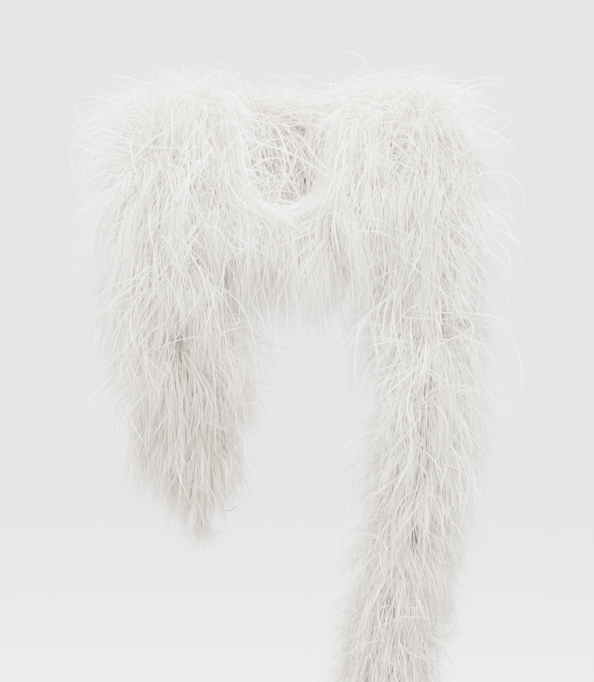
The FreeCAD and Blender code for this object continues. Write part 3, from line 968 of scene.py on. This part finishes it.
faces = 0
for index, body in plume_bodies.items():
    start = END_RUN_SHARE if index == 1 else float(index - 1)
    end = SPANS - END_RUN_SHARE if index == SPANS else float(index)
    choices = (PLUME_SHARES.get(index, 1.0), PLUME_LENGTHS.get(index, 1.0),
               PLUME_BEIGE_AND_PAINTED_SHADE.get(index, 0.0))
    flues = [plume_flues(kind, start, end, *choices) for kind in KINDS.values()]
    if index in LOOSE_TOWARDS:
        flues.append(plume_flues(LOOSE, start, end, towards=LOOSE_TOWARDS[index]))
    if index == 1:
        flues.append(hanging_lock(SIDE_LOCK, on_core(SIDE_LOCK_AT), SIDE_LOCK_TOWARDS))
    made = flue_mesh(f"flues_{index:02d}", flues, flue_finish)
    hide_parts(f"plume_{index:02d}")
    hang(made, index, body)
    faces += len(made.data.polygons)
print("plumes:", len(plume_bodies), "with", faces, "faces")

# %% [markdown]
# The end tufts hide the knots. The left tail's tuft is short and worn, and its thin lock hangs straight
# down past the knot. The right one is fuller and longer.

# %% End tufts
# Each tuft's third number darkens all its flues: partly the beige of handled down, partly painted shade
# for the low light at the foot of the tails.
TUFTS = (
    ("left", 0.0, END_RUN_SHARE, (1.0, 0.46, -0.6)),
    ("right", SPANS - END_RUN_SHARE, float(SPANS), (1.1, 0.62, -0.45)),
)
for side, start, end, choices in TUFTS:
    flues = [plume_flues(kind, start, end, *choices) for kind in KINDS.values()]
    if side == "left":
        flues.append(hanging_lock(TUFT_LOCK, knot_centres["left"], DOWN))
    made = flue_mesh(f"tuft_{side}", flues, flue_finish)
    settle(made, f"end_tuft_{side}", f"{side}_tail_lower")
    print(made.name, len(made.data.polygons), "faces")

# %% [markdown]
# The stage is a pale bowl: a floor that curves up into a wall all round, so that every view has the
# same quiet background with no corner in it. It is seen by the camera only, so that the boa is lit
# evenly from below as well, as by a white room.

# %% Stage
FLOOR_DROP = 0.04
BOWL_RADIUS, BOWL_BEND = 12.0, 7.0
FLAT_RADIUS = 0.8
BOWL_RINGS = 24


def bowl(name, profile, sides=96):
    turn = 2 * np.pi * np.arange(sides) / sides
    corners = [(0, 0, profile[0][1])]
    for radius, height in profile[1:]:
        corners += [(radius * math.cos(a), radius * math.sin(a), height) for a in turn]
    faces = [(0, 1 + side, 1 + (side + 1) % sides) for side in range(sides)]
    for ring in range(len(profile) - 2):
        base = 1 + ring * sides
        faces += [(base + side, base + sides + side, base + sides + (side + 1) % sides,
                   base + (side + 1) % sides) for side in range(sides)]
    mesh = bpy.data.meshes.new(name)
    mesh.from_pydata(corners, [], faces)
    mesh.polygons.foreach_set("use_smooth", [True] * len(mesh.polygons))
    return placed(name, mesh)


floor_z = float(room_low[2]) - FLOOR_DROP
rise = [(BOWL_RADIUS - BOWL_BEND + BOWL_BEND * math.sin(a), floor_z + BOWL_BEND * (1 - math.cos(a)))
        for a in np.linspace(0, math.pi / 2, BOWL_RINGS)]
stage = bowl("stage", [(0, floor_z), (FLAT_RADIUS, floor_z), *rise])
stage.visible_diffuse = stage.visible_glossy = False
stage.visible_transmission = stage.visible_shadow = False
stage_finish = bpy.data.materials.new("stage")
stage_finish.use_nodes = True
stage_shader = stage_finish.node_tree.nodes["Principled BSDF"]
stage_shader.inputs["Base Color"].default_value = (0.97, 0.97, 0.985, 1)
stage_shader.inputs["Roughness"].default_value = 0.9
stage.data.materials.append(stage_finish)
print("stage: floor at", round(floor_z, 3), "m")

# %% [markdown]
# White feathers show their depth only in soft light. Two large lamps stand in front, a third hangs over
# the shoulders, and a bright pale sky fills every gap, as in a studio with white walls. Light bounces
# many times between white flues, so it is allowed to. A film response with a soft shoulder keeps the
# whites apart from each other instead of clipping them.

# %% Lights
LIGHTS = (
    ("key", (-0.7, -2.4, 1.9), 2.2, 40),
    ("fill", (0.4, -3.0, 0.5), 2.6, 14),
    ("top", (0.0, -0.35, 1.25), 1.1, 34),
)
AIM_AT = np.array([0, 0, -0.15])

for name, place, size, power in LIGHTS:
    lamp = bpy.data.lights.new(name, "AREA")
    lamp.shape, lamp.size, lamp.energy = "DISK", size, power
    holder = placed(name, lamp)
    holder.location = place
    aim = AIM_AT - np.array(place)
    tilt = math.acos(-aim[2] / np.linalg.norm(aim))
    holder.rotation_euler = (tilt, 0, math.atan2(-aim[0], aim[1]))
    holder.visible_camera = False

world = bpy.data.worlds.new("studio")
world.use_nodes = True
sky = world.node_tree.nodes["Background"]
sky.inputs["Color"].default_value = (0.98, 0.985, 1.0, 1)
sky.inputs["Strength"].default_value = 1.42
scene = bpy.context.scene
scene.world = world
scene.cycles.max_bounces, scene.cycles.diffuse_bounces = 24, 16
scene.view_settings.view_transform = "Filmic"
scene.view_settings.look = "High Contrast"
print("lights:", [name for name, *_ in LIGHTS])
